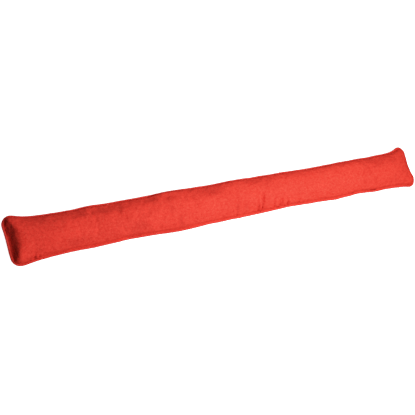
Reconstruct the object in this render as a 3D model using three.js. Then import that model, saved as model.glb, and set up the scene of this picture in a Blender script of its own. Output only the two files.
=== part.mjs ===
// A stuffed draught excluder: two long panels sewn together round a corded piping, filled firmly and
// lying on its back. Millimetres, +Z up, X along its length, the floor at z = 0.
//
// The filled case is one solid. Its two panels meet at the seam, a long rounded rectangle in plan that the
// filling draws in along the sides, so that only the four corners keep the cut width and stand out as ears.
// The piping is a second solid, a closed cord that follows the seam all the way round.
import * as THREE from "three";
import { LoftGeometry } from "three/addons/geometries/LoftGeometry.js";
import { mergeVertices } from "three/addons/utils/BufferGeometryUtils.js";

const { clamp, degToRad, lerp } = THREE.MathUtils;

// Driving sizes
const overallLength = 900; // over the piping
const endWidth = 102; // over the piping, where the corners keep the cut width
const waistWidth = 79; // over the piping, where the filling draws the long seams in
const crownRise = 25; // top panel above the seam
const seamHeight = 21; // seam above the floor
const pipingDiameter = 5;
const pipingGap = 0.3; // clearance between the piping and the seam

// The seam in plan. Each corner is an arc: beyond and wide say how far it lies outside the nominal length
// and end width, flare is the angle in degrees at which the long side runs out into it, and droop how far
// its ear hangs below the rest of the seam.
const corners = {
  nearLeft: { radius: 14, beyond: -3, wide: -3, flare: 11, droop: 4 },
  farLeft: { radius: 12, beyond: 0, wide: -2, flare: 25, droop: 4 },
  nearRight: { radius: 9, beyond: 2, wide: -6, flare: 9, droop: 4 },
  farRight: { radius: 8, beyond: 3, wide: -1, flare: 33, droop: 2 },
};

// The short ends: hollow is how far the middle of the seam is drawn in, rounding how far before the seam
// the ridge of the filling stops, fullness the section from there to the seam (2 is an ellipse, more is
// squarer), and bulge how far the panel swells out past the seam, or falls short of it where the filling
// has drawn back.
const ends = {
  left: { hollow: 2, rounding: 30, fullness: 2.2, bulge: -4 },
  right: { hollow: 1, rounding: 44, fullness: 2.5, bulge: 3.5 },
};
const endOf = (x) => (x < 0 ? ends.left : ends.right);

// The filled section
const topFullness = 2.5; // of the top panel across the long sides
const earFullness = 2.6; // the same towards a corner, where the panels lie flat together
const earReach = 16; // how far along the seam from a corner the ear fades out
const bottomFullness = 2.2;
const shoulderBulge = 3.5; // how far the top panel swells out past its seam
const floorPress = 4; // how far the underside would sag through the floor if it weren't pressed flat
const ridgeCap = 14; // the last stretch of the long sides, whose stations share the end of the ridge

// How the seam strays from its straight run: mm outwards on the near (-Y) and far (+Y) side.
const seamSway = [
  { along: -340, spread: 45, near: 0, far: -1 },
  { along: -288, spread: 22, near: 0.8, far: 1.4 },
  { along: -222, spread: 22, near: -1.4, far: 0 },
  { along: -115, spread: 42, near: 2.6, far: 2.4 },
  { along: 15, spread: 35, near: 0, far: 1.4 },
  { along: 125, spread: 60, near: -2.3, far: 0 },
  { along: 210, spread: 60, near: 0, far: -1.5 },
  { along: 242, spread: 18, near: 1.8, far: 0 },
  { along: 302, spread: 15, near: -1.8, far: 0 },
  { along: 345, spread: 18, near: 1, far: -0.5 },
];

// Lumps and hollows of the filling in the top panel; across runs from -1 at the near seam to 1 at the
// far one.
const lumps = [
  { along: -132, across: 0.6, rise: 3, length: 32, width: 0.6 },
  { along: 14, across: 0.6, rise: 1.6, length: 28, width: 0.5 },
];

// Short gathers that run up the top panel from the near seam; lean is the shift along the length at
// the tip.
const gathers = [
  { along: 57, reach: 32, depth: 2.2, spread: 3.2, lean: 0 },
  { along: 68, reach: 46, depth: 3, spread: 3.6, lean: 1 },
  { along: 95, reach: 36, depth: 1.6, spread: 3.6, lean: 2 },
  { along: 107, reach: 38, depth: 2.4, spread: 3.2, lean: 3 },
  { along: 122, reach: 32, depth: 2.4, spread: 3.2, lean: 3 },
];

// Mesh fineness
const sideStep = 10.5; // along the long seams
const gatherStep = 2.8; // the same where the gathers are
const gatherZone = { from: 48, to: 134 };
const cornerSteps = 5; // round each corner
const endSteps = 5; // from a corner to the middle of its short end
const topRings = 8;
const bottomRings = 5;
const pipingFacets = 8;

const fabricColour = 0xd2332b; // brushed red suedette

// Worked out from the driving sizes
const pipingRadius = pipingDiameter / 2;
const pipingReach = pipingGap + pipingDiameter; // from the seam to the outside of the piping
const seamHalfLength = overallLength / 2 - pipingReach;
const seamHalfEnd = endWidth / 2 - pipingReach;
const seamHalfWaist = waistWidth / 2 - pipingReach;

const bell = (distance, spread) => Math.exp(-((distance / spread) ** 2));
const columnSum = (rows, value) => rows.reduce((sum, row) => sum + value(row), 0);

// Where the points of a long side stand, as shares of its length, both corners left out.
function stationShares() {
  const shares = [];
  const length = 2 * seamHalfLength;
  for (let x = -seamHalfLength; x < seamHalfLength; ) {
    const fine = x > gatherZone.from && x < gatherZone.to;
    x += fine ? gatherStep : sideStep;
    shares.push(0.5 + x / length);
  }
  return shares.filter((share) => share < 1 - sideStep / 2 / length);
}
const sideShares = stationShares();

// A corner's arc, with both ends' directions, in the quarter where x and y are positive.
function cornerArc(corner, end) {
  const flare = degToRad(corner.flare);
  const centre = new THREE.Vector2(
    seamHalfLength + corner.beyond - corner.radius,
    seamHalfEnd + corner.wide - corner.radius,
  );
  const endTilt = Math.atan((2 * (end.hollow + corner.beyond)) / centre.y);
  const points = [];
  for (let i = 0; i <= cornerSteps; i++) {
    const turn = lerp(Math.PI / 2 + flare, -endTilt, i / cornerSteps);
    const outward = new THREE.Vector2(Math.cos(turn), Math.sin(turn));
    points.push(outward.multiplyScalar(corner.radius).add(centre));
  }
  const rise = points[0].y - seamHalfWaist;
  return { points, start: points[0], rise, fade: rise / Math.tan(flare) };
}

// One long side of the seam from the middle of the left end to the middle of the right one, drawn as if
// it were the far side.
function sidePath(leftCorner, rightCorner, side) {
  const left = cornerArc(leftCorner, ends.left);
  const right = cornerArc(rightCorner, ends.right);
  const run = sideShares.map((share) => {
    const x = lerp(-left.start.x, right.start.x, share);
    const flare =
      left.rise * Math.exp((-x - left.start.x) / left.fade) +
      right.rise * Math.exp((x - right.start.x) / right.fade);
    const sway = columnSum(seamSway, (row) => row[side] * bell(x - row.along, row.spread));
    return new THREE.Vector2(x, seamHalfWaist + flare + sway);
  });
  const leftPoints = left.points.map((p) => new THREE.Vector2(-p.x, p.y)).reverse();
  const leftEnd = endPath(leftPoints[0]);
  const rightEnd = endPath(right.points[cornerSteps]).reverse();
  return [...leftEnd, ...leftPoints, ...run, ...right.points, ...rightEnd];
}

// From the middle of a short end to a corner's arc, which it leaves out.
function endPath(corner) {
  const middle = Math.sign(corner.x) * (seamHalfLength - endOf(corner.x).hollow);
  const points = [];
  for (let i = 0; i < endSteps; i++) {
    const share = i / endSteps;
    points.push(new THREE.Vector2(lerp(middle, corner.x, share ** 2), corner.y * share));
  }
  return points;
}

// Where the ridge of the filling lies beside a point of the seam. It closes in smoothly over its last
// stretch, which is as long as makes it stop where the rounding starts.
function ridgeX(x) {
  const stretch = (endOf(x).rounding - ridgeCap) / (1 - 2 / Math.PI);
  const start = seamHalfLength - ridgeCap - stretch;
  const past = Math.min(Math.abs(x) - start, stretch);
  if (past <= 0) return x;
  const reach = (stretch * 2) / Math.PI;
  return Math.sign(x) * (start + reach * Math.sin(past / reach));
}

// What the section needs to know at each point of the seam, anticlockwise from the middle of the left end.
function seamStations() {
  const near = sidePath(corners.nearLeft, corners.nearRight, "near");
  const far = sidePath(corners.farLeft, corners.farRight, "far");
  const ridge = near.map((p, i) => ridgeX((p.x + far[i].x) / 2));
  const plan = [
    ...near.map((p, i) => ({ x: p.x, y: -p.y, ridge: ridge[i], side: -1 })),
    ...far.map((p, i) => ({ x: p.x, y: p.y, ridge: ridge[i], side: 1 })).slice(1, -1).reverse(),
  ];
  return plan.map((p, i) => {
    const before = plan[(i + plan.length - 1) % plan.length];
    const after = plan[(i + 1) % plan.length];
    const along = new THREE.Vector2(after.x - before.x, after.y - before.y).normalize();
    const name = (p.side < 0 ? "near" : "far") + (p.x < 0 ? "Left" : "Right");
    const fromCorner = Math.hypot(seamHalfLength - Math.abs(p.x), seamHalfEnd - Math.abs(p.y));
    const ear = bell(fromCorner, earReach);
    const endward = along.y ** 2; // 1 on the short ends, 0 on the long sides
    const end = endOf(p.x);
    return {
      ...p,
      z: seamHeight - corners[name].droop * ear,
      outX: along.y,
      outY: -along.x,
      fullness: lerp(lerp(topFullness, end.fullness, endward), earFullness, ear),
      lift: crownRise + corners[name].droop * ear,
      bulge: (1 - ear) * lerp(shoulderBulge, end.bulge, endward),
    };
  });
}

function lumpRise(x, across) {
  return columnSum(lumps, (row) => {
    return row.rise * bell(x - row.along, row.length) * bell(across - row.across, row.width);
  });
}

function gatherDepth(x, climb) {
  return columnSum(gathers, (row) => {
    const share = clamp(climb / row.reach, 0, 1);
    const middle = row.along + row.lean * share;
    return row.depth * bell(x - middle, row.spread) * Math.sin(Math.PI * share ** 0.6);
  });
}

// One ring of the top panel; rise runs from 0 at the seam to a right angle on the ridge.
function topRing(stations, rise) {
  return stations.map((s) => {
    const power = 2 / s.fullness;
    const share = Math.max(Math.cos(rise), 0) ** power;
    const climb = seamHalfWaist * 1.5 * rise;
    const across = s.side * (1 - rise / (Math.PI / 2));
    const pinch = s.side < 0 ? gatherDepth(s.x, climb) : 0;
    const soft = lumpRise(lerp(s.ridge, s.x, share), across) * Math.min(1, 2 * Math.sin(rise)) - pinch;
    const outward = s.bulge * 2.6 * Math.sin(rise) * Math.cos(rise) ** 2 + soft * Math.cos(rise);
    return new THREE.Vector3(
      lerp(s.ridge, s.x, share) + s.outX * outward,
      s.y * share + s.outY * outward,
      s.z + s.lift * Math.sin(rise) ** power + soft * Math.sin(rise),
    );
  });
}

// One ring of the bottom panel, pressed flat where it meets the floor.
function bottomRing(stations, fall) {
  const power = 2 / bottomFullness;
  const share = Math.cos(fall) ** power;
  const drop = Math.sin(fall) ** power * (seamHeight + floorPress);
  return stations.map((s) => {
    return new THREE.Vector3(lerp(s.ridge, s.x, share), s.y * share, Math.max(s.z - drop, 0));
  });
}

// Merges a lofted surface's doubled points and drops the triangles that this closes up.
function closedSurface(loft) {
  const surface = new THREE.BufferGeometry();
  surface.setAttribute("position", loft.getAttribute("position"));
  surface.setIndex(loft.getIndex());
  const merged = mergeVertices(surface, 1e-3);
  const ends = merged.getIndex().array;
  const kept = [];
  for (let i = 0; i < ends.length; i += 3) {
    const [a, b, c] = ends.slice(i, i + 3);
    if (a !== b && b !== c && c !== a) kept.push(a, b, c);
  }
  merged.setIndex(kept);
  merged.computeVertexNormals();
  return merged;
}

function filledCase(stations) {
  const flat = Math.asin((seamHeight / (seamHeight + floorPress)) ** (bottomFullness / 2));
  const rings = [];
  for (let i = bottomRings; i >= 1; i--) rings.push(bottomRing(stations, (flat * i) / bottomRings));
  for (let i = 0; i <= topRings; i++) rings.push(topRing(stations, (Math.PI / 2) * (i / topRings)));
  return closedSurface(new LoftGeometry(rings, { capStart: true }));
}

function piping(stations) {
  const sections = [...stations, stations[0]].map((s) => {
    const section = [];
    for (let k = 0; k < pipingFacets; k++) {
      const turn = (2 * Math.PI * k) / pipingFacets;
      const outward = pipingGap + pipingRadius + pipingRadius * Math.cos(turn);
      const z = s.z - pipingRadius * Math.sin(turn);
      section.push(new THREE.Vector3(s.x + s.outX * outward, s.y + s.outY * outward, z));
    }
    return section;
  });
  return closedSurface(new LoftGeometry(sections));
}

function fabric() {
  return new THREE.MeshStandardMaterial({ color: fabricColour, roughness: 0.95, metalness: 0 });
}

const stations = seamStations();
const draughtExcluder = new THREE.Group();

const caseMesh = new THREE.Mesh(filledCase(stations), fabric());
caseMesh.name = "filled_case";
draughtExcluder.add(caseMesh);

const pipingMesh = new THREE.Mesh(piping(stations), fabric());
pipingMesh.name = "piping";
draughtExcluder.add(pipingMesh);

// The corners aren't alike, so the whole is centred over the origin by its box.
const middle = new THREE.Box3().setFromObject(draughtExcluder).getCenter(new THREE.Vector3());
draughtExcluder.position.set(-middle.x, -middle.y, 0);

export default draughtExcluder;
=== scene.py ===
# A stuffed draught excluder in red brushed suedette, piped round its seam
import math

import bpy
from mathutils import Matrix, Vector, noise
from mathutils.bvhtree import BVHTree


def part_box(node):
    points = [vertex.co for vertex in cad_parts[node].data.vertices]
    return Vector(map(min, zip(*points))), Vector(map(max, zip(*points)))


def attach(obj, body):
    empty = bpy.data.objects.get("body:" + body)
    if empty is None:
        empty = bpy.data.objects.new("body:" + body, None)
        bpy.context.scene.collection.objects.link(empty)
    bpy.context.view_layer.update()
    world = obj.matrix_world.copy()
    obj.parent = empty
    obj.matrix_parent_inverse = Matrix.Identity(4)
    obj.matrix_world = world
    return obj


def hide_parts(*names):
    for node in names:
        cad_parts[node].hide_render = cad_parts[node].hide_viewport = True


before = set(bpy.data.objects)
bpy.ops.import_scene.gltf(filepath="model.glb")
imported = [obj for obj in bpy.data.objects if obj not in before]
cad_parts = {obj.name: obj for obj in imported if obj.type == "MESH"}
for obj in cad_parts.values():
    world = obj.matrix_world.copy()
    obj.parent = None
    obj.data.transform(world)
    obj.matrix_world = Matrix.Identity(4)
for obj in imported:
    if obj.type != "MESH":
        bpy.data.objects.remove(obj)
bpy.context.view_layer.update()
print("frame loaded")

# camera: a three-quarter view from above the left end
cameraFacts = {
    "place": (-0.69486, -0.30861, 1.43473),
    "turn": (17.358, -20.575, -16.487),  # degrees
    "lens": 69.4,
}

bpy.ops.object.camera_add(
    location=cameraFacts["place"],
    rotation=[math.radians(angle) for angle in cameraFacts["turn"]],
)
camera = bpy.context.object
camera.name = "studioCamera"
camera.data.lens = cameraFacts["lens"]
camera.data.sensor_width = 36
bpy.context.scene.camera = camera


def deselectAll():
    bpy.ops.object.select_all(action="DESELECT")


def makeActive(piece):
    deselectAll()
    piece.select_set(True)
    bpy.context.view_layer.objects.active = piece


def applyModifier(piece, modifier):
    makeActive(piece)
    bpy.ops.object.modifier_apply(modifier=modifier.name)


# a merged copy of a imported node, as a new piece of its own
def copyOfNode(nodeName, pieceName):
    piece = bpy.data.objects.new(pieceName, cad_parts[nodeName].data.copy())
    piece.data.name = pieceName
    piece.data.materials.clear()
    bpy.context.scene.collection.objects.link(piece)
    makeActive(piece)
    bpy.ops.object.mode_set(mode="EDIT")
    bpy.ops.mesh.select_all(action="SELECT")
    bpy.ops.mesh.remove_doubles(threshold=0.00001)
    bpy.ops.mesh.tris_convert_to_quads()
    bpy.ops.mesh.normals_make_consistent(inside=False)
    bpy.ops.object.mode_set(mode="OBJECT")
    return piece


def subdivide(piece, levels):
    subdivision = piece.modifiers.new("Subdivision", "SUBSURF")
    subdivision.levels = levels
    subdivision.render_levels = levels
    applyModifier(piece, subdivision)


def shadeSmooth(piece):
    for polygon in piece.data.polygons:
        polygon.use_smooth = True


def bell(distance, spread):
    return math.exp(-((distance / spread) ** 2))


# runs smoothly from 0 at the first value to 1 at the second
def ease(value, low, high):
    share = min(1, max(0, (value - low) / (high - low)))
    return share * share * (3 - 2 * share)


# materials


def linearColour(hexValue):
    channels = [(hexValue >> shift & 255) / 255 for shift in (16, 8, 0)]
    return [c / 12.92 if c <= 0.04045 else ((c + 0.055) / 1.055) ** 2.4 for c in channels] + [1.0]


# adds one node: settings are its own properties or sockets, links are socket name -> output
def addNode(owner, kind, settings=None, links=None):
    tree = owner.node_tree
    node = tree.nodes.new(kind)
    for name, value in (settings or {}).items():
        if isinstance(name, int) or name in node.inputs:
            node.inputs[name].default_value = value
        else:
            setattr(node, name, value)
    for name, output in (links or {}).items():
        tree.links.new(output, node.inputs[name])
    return node


def newMaterial(name):
    material = bpy.data.materials.new(name)
    material.use_nodes = True
    material.node_tree.nodes.clear()
    return material


# Brushed microfibre suedette: a matt cloth whose short soft nap lies in patches.
# It shows as a fine two-tone mottle with paler tufts and no weave, and it has hardly any gloss.
suedette = {
    "deep": 0xC2261C,  # nap that leans away and shows its depth
    "bright": 0xF93F31,  # nap that leans towards the light
    "tips": 0xFA5644,  # loose tips of the nap
    "mottleMm": 5.0,  # patches of nap that lie one way
    "tipsMm": 2.2,  # single tufts are near 0.3 mm, and drawn this coarse so that they show
    "tipsMost": 0.65,  # how much of the tips' colour the palest tufts take on
    "strokeMm": 42.0,  # broad lighter and darker patches
    "strokeDepth": 0.86,  # share of the colour that the darkest of them keep
    "roughness": 0.8,
    "roughnessSpread": 0.06,
    "gloss": 0.15,
    "napHeight": 0.0002,
    "napStrength": 0.7,
    "creaseDarkening": 0.85,  # share of the colour taken away where creaseShade is 1
}


def makeSuedette(name, facts):
    material = newMaterial(name)
    # painted shade: the colour is darkened where the creaseShade attribute is set
    creased = addNode(material, "ShaderNodeAttribute", {"attribute_name": "creaseShade"})
    kept = addNode(
        material,
        "ShaderNodeMapRange",
        {"To Min": 1.0, "To Max": 1 - facts["creaseDarkening"]},
        {"Value": creased.outputs["Fac"]},
    )
    place = addNode(material, "ShaderNodeTexCoord").outputs["Object"]
    mottle = addNode(
        material,
        "ShaderNodeTexNoise",
        {"Scale": 1000 / facts["mottleMm"], "Detail": 3.0, "Roughness": 0.65},
        {"Vector": place},
    )
    lean = addNode(
        material,
        "ShaderNodeMapRange",
        {"From Min": 0.25, "From Max": 0.75},
        {"Value": mottle.outputs["Fac"]},
    )
    tufts = addNode(
        material,
        "ShaderNodeTexNoise",
        {"Scale": 1000 / facts["tipsMm"], "Detail": 2.0, "Roughness": 0.6},
        {"Vector": place},
    )
    tips = addNode(
        material,
        "ShaderNodeMapRange",
        {"From Min": 0.48, "From Max": 0.74, "To Max": facts["tipsMost"]},
        {"Value": tufts.outputs["Fac"]},
    )
    along = addNode(material, "ShaderNodeMapping", {"Scale": (0.7, 1.2, 1.2)}, {"Vector": place})
    strokes = addNode(
        material,
        "ShaderNodeTexNoise",
        {"Scale": 1000 / facts["strokeMm"], "Detail": 2.0},
        {"Vector": along.outputs["Vector"]},
    )
    shade = addNode(
        material,
        "ShaderNodeMapRange",
        {"From Min": 0.3, "From Max": 0.7, "To Min": facts["strokeDepth"], "To Max": 1.0},
        {"Value": strokes.outputs["Fac"]},
    )
    nap = addNode(
        material,
        "ShaderNodeMix",
        {"data_type": "RGBA", 6: linearColour(facts["deep"]), 7: linearColour(facts["bright"])},
        {0: lean.outputs["Result"]},
    )
    tipped = addNode(
        material,
        "ShaderNodeMix",
        {"data_type": "RGBA", 7: linearColour(facts["tips"])},
        {0: tips.outputs["Result"], 6: nap.outputs[2]},
    )
    shadeKept = addNode(
        material,
        "ShaderNodeMath",
        {"operation": "MULTIPLY"},
        {0: shade.outputs["Result"], 1: kept.outputs["Result"]},
    )
    brushed = addNode(
        material,
        "ShaderNodeVectorMath",
        {"operation": "SCALE"},
        {0: tipped.outputs[2], "Scale": shadeKept.outputs["Value"]},
    )
    height = addNode(
        material,
        "ShaderNodeMath",
        {"operation": "ADD"},
        {0: mottle.outputs["Fac"], 1: tufts.outputs["Fac"]},
    )
    bump = addNode(
        material,
        "ShaderNodeBump",
        {"Strength": facts["napStrength"], "Distance": facts["napHeight"]},
        {"Height": height.outputs["Value"]},
    )
    spread = facts["roughnessSpread"]
    dullness = addNode(
        material,
        "ShaderNodeMapRange",
        {"To Min": facts["roughness"] + spread, "To Max": facts["roughness"] - spread},
        {"Value": lean.outputs["Result"]},
    )
    shader = addNode(
        material,
        "ShaderNodeBsdfPrincipled",
        {"IOR": 1.5, "Specular IOR Level": facts["gloss"]},
        {
            "Base Color": brushed.outputs["Vector"],
            "Roughness": dullness.outputs["Result"],
            "Normal": bump.outputs["Normal"],
        },
    )
    addNode(material, "ShaderNodeOutputMaterial", links={"Surface": shader.outputs["BSDF"]})
    return material


# The piping is the same suedette, stretched over its cord, so its nap is flatter and a little paler
pipingSuedette = {
    **suedette,
    "deep": 0xCC2F25,
    "bright": 0xF04539,
    "mottleMm": 4.0,
    "napHeight": 0.00014,
    "creaseDarkening": 0.0,  # nothing is painted on the piping
}


# stores at each point how much painted shade darkens the cloth there, from a function of the place
def paintCreaseShade(piece, shadeAt):
    values = [min(1, max(0, shadeAt(v.co))) for v in piece.data.vertices]
    attribute = piece.data.attributes.new("creaseShade", "FLOAT", "POINT")
    attribute.data.foreach_set("value", values)


brushedSuedette = makeSuedette("brushedSuedette", suedette)
biasSuedette = makeSuedette("biasSuedette", pipingSuedette)
print("materials made")

# The piping: a cord in a bias strip, sewn in all the way round. It is made first, as the cloth meets it.
piping = {
    "swayPitch": 0.024,  # the cord snakes a little between its stitches
    "sway": 0.0005,
    "endSway": 0.0009,  # it snakes most round the left end
    "endFrom": -0.40,
    "upSway": 1.2,  # it strays this much more up and down than sideways
    "bulkPitch": 0.009,
    "bulk": 0.00022,  # the strip is thicker and thinner over its length
    "joinAt": (-0.205, 0.045),  # on the far side, where the strip's ends overlap
    "joinLength": 0.008,
    "joinBulk": 0.0004,
}

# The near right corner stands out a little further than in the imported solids
nearRight = {
    "out": 0.0034,
    "alongFrom": 0.40,
    "alongTo": 0.45,
    "acrossFrom": 0.0,
    "acrossTo": 0.034,
}


def pushCorner(piece, facts):
    for vertex in piece.data.vertices:
        share = ease(vertex.co.x, facts["alongFrom"], facts["alongTo"])
        vertex.co.x += facts["out"] * share * ease(-vertex.co.y, facts["acrossFrom"], facts["acrossTo"])


seamLevel = (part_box("piping")[0].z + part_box("piping")[1].z) / 2
pipingCord = copyOfNode("piping", "pipingCord")
pushCorner(pipingCord, nearRight)
subdivide(pipingCord, 2)
for vertex, normal in [(v, v.normal.copy()) for v in pipingCord.data.vertices]:
    place = vertex.co.copy()
    sway = piping["endSway"] if place.x < piping["endFrom"] else piping["sway"]
    coarse = place / piping["swayPitch"]
    vertex.co += sway * Vector((noise.noise(coarse), noise.noise(coarse + Vector((7, 3, 1))), 0))
    vertex.co.z += piping["upSway"] * sway * noise.noise(coarse + Vector((2, 9, 4)))
    bulk = piping["bulk"] * noise.noise(place / piping["bulkPitch"])
    atJoin = (place.xy - Vector(piping["joinAt"])).length
    vertex.co += normal * (bulk + piping["joinBulk"] * bell(atJoin, piping["joinLength"]))
shadeSmooth(pipingCord)
pipingCord.data.materials.append(biasSuedette)
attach(pipingCord, "root")
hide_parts("piping")
print("piping done:", len(pipingCord.data.polygons), "faces")

# The filled case: two panels blown up by their filling and held along the seam
case = {
    "startInset": 0.0022,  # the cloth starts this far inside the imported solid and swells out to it
    "insetFrom": 0.012,  # the inset is full this far from the piping
    "voxel": 0.0032,
    "pressure": 4.0,
    "frames": 20,
    "spare": 0.012,  # share by which the cloth is longer than its start, so that it can pucker
    "mostSwell": 0.0035,
    "grip": 0.0045,  # cloth this close to the piping is held by the seam
    "floorGrip": 0.0008,  # and cloth this low is held by the floor
}

# Along the seam the cloth goes under the piping
seam = {
    "pullAll": 0.0018,
    "pullFrom": 0.0042,
    "pullIn": 0.0006,
}

# The right end runs out in a long slope, and just above the seam the cloth bulges towards the piping
rightEnd = {
    "slopeFrom": 0.386,
    "slopeTo": 0.434,
    "drop": 0.0055,
    "crown": 0.025,
    "bulge": 0.0035,
    "bulgeFrom": 0.42,
    "bulgeTo": 0.44,
    "bulgeHeight": 0.008,  # of its middle, above the seam
    "bulgeSpread": 0.009,
}

pipingTree = BVHTree.FromPolygons(
    [v.co for v in pipingCord.data.vertices],
    [p.vertices for p in pipingCord.data.polygons],
)


def toPiping(place):
    return pipingTree.find_nearest(place)[3]


def slopeRightEnd(piece, facts):
    for vertex in piece.data.vertices:
        above = vertex.co.z - seamLevel
        start = vertex.co.x
        share = min(1, max(0, (start - facts["slopeFrom"]) / (facts["slopeTo"] - facts["slopeFrom"])))
        vertex.co.z -= facts["drop"] * share * min(1, max(0, above / facts["crown"]))
        atBulge = ease(start, facts["bulgeFrom"], facts["bulgeTo"])
        vertex.co.x += facts["bulge"] * atBulge * bell(above - facts["bulgeHeight"], facts["bulgeSpread"])


# draws the cloth beside the seam right up to the piping, which the voxels had rounded off
def closeSeam(piece, facts):
    for vertex in piece.data.vertices:
        nearest, _, _, distance = pipingTree.find_nearest(vertex.co)
        if distance < facts["pullFrom"]:
            share = 1 - max(0, distance - facts["pullAll"]) / (facts["pullFrom"] - facts["pullAll"])
            vertex.co += (nearest - vertex.co).normalized() * (distance + facts["pullIn"]) * share


def puffUp(piece, facts):
    mesh = piece.data
    for vertex, normal in [(v, v.normal.copy()) for v in mesh.vertices]:
        vertex.co -= normal * facts["startInset"] * min(1, toPiping(vertex.co) / facts["insetFrom"])
    remesh = piece.modifiers.new("Remesh", "REMESH")
    remesh.mode = "VOXEL"
    remesh.voxel_size = facts["voxel"]
    remesh.adaptivity = 0
    applyModifier(piece, remesh)
    print("case remeshed:", len(mesh.vertices), "points")
    closeSeam(piece, seam)
    held = piece.vertex_groups.new(name="held")
    for vertex in mesh.vertices:
        onFloor = 1 if vertex.co.z < facts["floorGrip"] else 0
        atSeam = 1 - min(1, max(0, (toPiping(vertex.co) - facts["grip"]) / facts["grip"]))
        held.add([vertex.index], max(onFloor, atSeam), "REPLACE")
    start = [v.co.copy() for v in mesh.vertices]
    cloth = piece.modifiers.new("Cloth", "CLOTH")
    cloth.settings.quality = 6
    cloth.settings.mass = 0.15
    cloth.settings.tension_stiffness = 12
    cloth.settings.compression_stiffness = 12
    cloth.settings.shear_stiffness = 5
    cloth.settings.bending_stiffness = 0.4
    cloth.settings.use_pressure = True
    cloth.settings.uniform_pressure_force = facts["pressure"]
    cloth.settings.shrink_min = -facts["spare"]
    cloth.settings.vertex_group_mass = "held"
    cloth.settings.effector_weights.gravity = 0
    cloth.collision_settings.use_collision = False
    cloth.collision_settings.use_self_collision = False
    cloth.point_cache.frame_end = facts["frames"]
    for step in range(1, facts["frames"] + 1):
        bpy.context.scene.frame_set(step)
    applyModifier(piece, cloth)
    bpy.context.scene.frame_set(1)
    moves = []
    for vertex, before in zip(piece.data.vertices, start):
        move = vertex.co - before
        moves.append(move.length)
        if move.length > facts["mostSwell"]:
            vertex.co = before + move * (facts["mostSwell"] / move.length)
    moves.sort()
    print("cloth moved, mm:", [round(moves[int(len(moves) * q)] * 1000, 2) for q in (0.1, 0.5, 0.9, 0.99)])


# Soft dents and lumps of the filling: place in the plan, rise, half length and half width, in millimetres
dents = [
    {"along": -309, "across": 24, "rise": -2.3, "length": 12.6, "width": 7.8},
    {"along": -272, "across": 24, "rise": -2.2, "length": 14, "width": 7.8},
    {"along": -238, "across": 21, "rise": -2.7, "length": 11.2, "width": 10.4},
    {"along": -236, "across": 8, "rise": -1.3, "length": 4.4, "width": 10.4},
    {"along": -170, "across": 26, "rise": -2.3, "length": 12.6, "width": 9.1},
    {"along": -128, "across": 25, "rise": -2.5, "length": 19.6, "width": 9.1},
    {"along": -86, "across": 14, "rise": -2.2, "length": 3.85, "width": 18.2},
    {"along": -40, "across": 21, "rise": -1.6, "length": 16.8, "width": 7.8},
    {"along": -206, "across": -24, "rise": -2.6, "length": 19.6, "width": 10.4},
    {"along": -122, "across": -25, "rise": -2.5, "length": 4.95, "width": 13},
    {"along": -138, "across": -2, "rise": -1.4, "length": 5.5, "width": 15.6},
    {"along": -330, "across": -27, "rise": -1.6, "length": 22.4, "width": 7.8},
    {"along": 2, "across": -20, "rise": -2.2, "length": 3.85, "width": 9.1},
    {"along": 21, "across": -23, "rise": -2.0, "length": 4.95, "width": 7.8},
    {"along": -212, "across": 4, "rise": 1.2, "length": 13, "width": 12},
    {"along": -168, "across": -6, "rise": 1.2, "length": 14, "width": 12},
    {"along": -438, "across": 38, "rise": 3.0, "length": 7, "width": 8},
    {"along": -434, "across": -36, "rise": 3.6, "length": 8, "width": 8},
]

# Gathers that run up the top panel from the near seam: place along it, reach, depth, half width and the
# shift of the tip, in millimetres
gathers = [
    {"along": 1, "reach": 23, "depth": 2.3, "width": 2.0, "lean": 1},
    {"along": 50, "reach": 34, "depth": 4.2, "width": 1.9, "lean": -1},
    {"along": 58, "reach": 48, "depth": 6.0, "width": 2.4, "lean": 7},
    {"along": 88, "reach": 31, "depth": 3.8, "width": 2.0, "lean": 1},
    {"along": 101, "reach": 32, "depth": 5.5, "width": 2.4, "lean": 5},
    {"along": 118, "reach": 27, "depth": 5.0, "width": 2.2, "lean": 4},
    {"along": 146, "reach": 34, "depth": 2.5, "width": 2.5, "lean": 3},
    {"along": -408, "reach": 17, "depth": 3.6, "width": 2.0, "lean": 2},
    {"along": -399, "reach": 13, "depth": 2.6, "width": 1.9, "lean": 1},
]

relief = {
    "dentEnd": 3,  # a dent is left out past this many half lengths
    "gatherEnd": 20,  # and a gather past this many millimetres
    "ridgeOut": 2.3,  # a ridge stands on each side of a gather, this many half widths out
    "ridgeShare": 0.35,  # and this much as high as the gather is deep
    "lumpSize": 0.05,  # loose filling under the cloth
    "lumpRise": 0.0010,
    "lumpFrom": 0.02,  # full this far from the piping
    "puckerPitch": 0.0075,  # small puckers where the panels are eased on to the piping
    "puckerDepth": 0.00055,
    "puckerReach": 0.008,
    "puckerFrom": 0.0012,
    "cornerDepth": 0.0011,  # the same round the corners
    "cornerAlong": (0.405, 0.435),
    "cornerAcross": (0.022, 0.036),
    "creaseDepth": 0.0016,  # the cloth dips where it goes under the piping's stitches
    "creaseFrom": 0.0025,
    "creaseWidth": 0.0018,
    "held": (0.0005, 0.002),  # nothing rises nearer the piping than the first, and all past the second
    "pressed": (0.0002, 0.003),  # the same for the height above the floor
}


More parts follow.
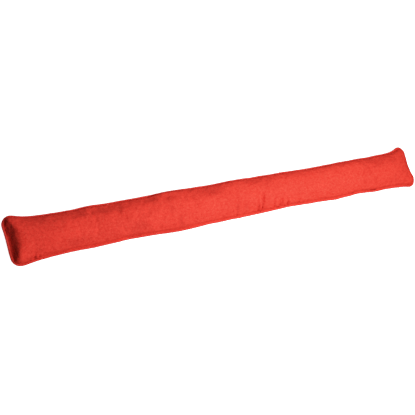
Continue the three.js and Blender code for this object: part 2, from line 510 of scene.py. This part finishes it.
# how far the cloth rises above its puffed shape at a place, in metres
def reliefAt(place, facts):
    seamPlace, _, _, fromSeam = pipingTree.find_nearest(place)
    x = place.x * 1000
    y = place.y * 1000
    climb = fromSeam * 1000
    rise = 0
    if place.z > seamLevel:
        for dent in dents:
            if abs(x - dent["along"]) < facts["dentEnd"] * dent["length"]:
                along = bell(x - dent["along"], dent["length"])
                rise += dent["rise"] * along * bell(y - dent["across"], dent["width"])
        for gather in gathers:
            share = climb / gather["reach"]
            if y < 0 and share < 1 and abs(x - gather["along"]) < facts["gatherEnd"]:
                middle = gather["along"] + gather["lean"] * share
                fade = (1 - share) ** 0.7 * ease(share, -0.2, 0.25)
                trough = bell(x - middle, gather["width"])
                ridges = bell(abs(x - middle) - facts["ridgeOut"] * gather["width"], gather["width"])
                rise += gather["depth"] * fade * (facts["ridgeShare"] * ridges - trough)
    rise /= 1000
    rise += facts["lumpRise"] * noise.noise(place / facts["lumpSize"]) * ease(fromSeam, 0, facts["lumpFrom"])
    corner = ease(abs(place.x), *facts["cornerAlong"]) * ease(abs(place.y), *facts["cornerAcross"])
    depth = facts["puckerDepth"] + (facts["cornerDepth"] - facts["puckerDepth"]) * corner
    side = 0 if place.z > seamLevel else 5
    pucker = noise.noise(Vector((seamPlace.x, seamPlace.y, 0)) / facts["puckerPitch"] + Vector((0, 0, side)))
    rise += depth * pucker * bell(fromSeam, facts["puckerReach"]) * ease(fromSeam, 0, facts["puckerFrom"])
    rise -= facts["creaseDepth"] * bell(fromSeam - facts["creaseFrom"], facts["creaseWidth"])
    return rise * ease(fromSeam, *facts["held"])


# Painted shade: the case is coloured a little darker in its dents and gathers and beside the near
# stitches, so that they read in soft light. The ends are left to the light.
painted = {
    "besideSeam": 0.30,
    "seamFrom": 0.0019,
    "seamWidth": 0.0014,
    "seamDown": 0.002,  # it goes this far below the seam's level
    "nearSide": 0.02,  # full this far to the near side of the middle
    "perMm": 0.09,  # for each millimetre that a dent or gather goes in
}


withoutCrease = {**relief, "creaseDepth": 0}


def creaseShadeAt(place):
    shade = -painted["perMm"] * 1000 * reliefAt(place, withoutCrease)
    if place.z > seamLevel - painted["seamDown"]:
        besideSeam = bell(toPiping(place) - painted["seamFrom"], painted["seamWidth"])
        shade += painted["besideSeam"] * besideSeam * ease(-place.y, 0, painted["nearSide"])
    return shade


cushionCase = copyOfNode("filled_case", "cushionCase")
pushCorner(cushionCase, nearRight)
slopeRightEnd(cushionCase, rightEnd)
puffUp(cushionCase, case)
subdivide(cushionCase, 1)
for vertex, normal in [(v, v.normal.copy()) for v in cushionCase.data.vertices]:
    onFloor = 1 - ease(vertex.co.z, *relief["pressed"])
    vertex.co += normal * reliefAt(vertex.co, relief) * (1 - onFloor)
closeSeam(cushionCase, seam)
for vertex in cushionCase.data.vertices:
    vertex.co.z = max(0, vertex.co.z)
paintCreaseShade(cushionCase, creaseShadeAt)
shadeSmooth(cushionCase)
cushionCase.data.materials.append(brushedSuedette)
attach(cushionCase, "root")
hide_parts("filled_case")
print("case done:", len(cushionCase.data.polygons), "faces")

# floor and light: the white sweep is only seen, and the floor below it only sends light back
studio = {
    "floorSize": 12,
    "paperColour": 0xF4F4F2,
    "bounceColour": 0x303030,
    "roomLight": 0.05,
}

# Soft boxes: place, size and power. The key hangs close, right of the middle, so the cushion is brightest
# there and darkens towards its left end. The fills stand in front and behind.
softBoxes = {
    "keyBox": ((0.165, -0.20, 0.66), 0.22, 5.7),
    "frontFill": ((-0.12, -1.25, 0.95), 0.6, 13.0),
    "backFill": ((0.02, 1.20, 1.05), 0.6, 9.5),
}

# Light in the scene and light shown, for red alone. The red is true up to two thirds of white and then has a
# soft shoulder, while green and blue stay true. The sweep is lit past its end.
redShoulder = [(0, 0), (0.66, 0.66), (0.9, 0.785), (1.1, 0.865), (1.4, 0.925), (1.55, 1)]
paperWhite = (1, 1 / redShoulder[-1][0], 1 / redShoulder[-1][0], 1)


def addFloor(name, height, colour, glow, seen):
    deselectAll()
    bpy.ops.mesh.primitive_plane_add(size=studio["floorSize"], location=(0, 0, 0))
    floor = bpy.context.object
    floor.name = name
    for vertex in floor.data.vertices:
        vertex.co.z = height
    floor.visible_camera = seen
    floor.visible_shadow = not seen
    floor.visible_diffuse = not seen
    floor.visible_glossy = not seen
    paper = newMaterial(name + "Paper")
    shader = addNode(
        paper,
        "ShaderNodeBsdfPrincipled",
        {
            "Base Color": linearColour(colour),
            "Roughness": 0.95,
            "Emission Color": paperWhite,
            "Emission Strength": glow,
        },
    )
    addNode(paper, "ShaderNodeOutputMaterial", links={"Surface": shader.outputs["BSDF"]})
    floor.data.materials.append(paper)
    return floor


addFloor("whiteSweep", 0.0, studio["paperColour"], redShoulder[-1][0], True)
addFloor("bounceFloor", -0.0002, studio["bounceColour"], 0.0, False)

for name, (place, size, power) in softBoxes.items():
    deselectAll()
    bpy.ops.object.light_add(type="AREA", location=place)
    light = bpy.context.object
    light.name = name
    light.data.size = size
    light.data.energy = power
    light.rotation_euler = Vector((0, place[1], place[2])).to_track_quat("Z", "Y").to_euler()

world = bpy.data.worlds.new("studioWorld")
bpy.context.scene.world = world
world.use_nodes = True
world.node_tree.nodes.clear()
dimRoom = addNode(
    world,
    "ShaderNodeBackground",
    {"Color": (1, 1, 1, 1), "Strength": studio["roomLight"]},
)
whiteWall = addNode(world, "ShaderNodeBackground", {"Color": paperWhite, "Strength": redShoulder[-1][0]})
rays = addNode(world, "ShaderNodeLightPath")
seen = addNode(
    world,
    "ShaderNodeMixShader",
    links={0: rays.outputs["Is Camera Ray"], 1: dimRoom.outputs[0], 2: whiteWall.outputs[0]},
)
addNode(world, "ShaderNodeOutputWorld", links={"Surface": seen.outputs[0]})
view = bpy.context.scene.view_settings
view.view_transform = "Standard"
view.use_curve_mapping = True
view.curve_mapping.white_level = (redShoulder[-1][0], 1, 1)
red = view.curve_mapping.curves[0]
for lit, shown in redShoulder[1:-1]:
    red.points.new(lit / redShoulder[-1][0], shown)
view.curve_mapping.update()
print("studio done")
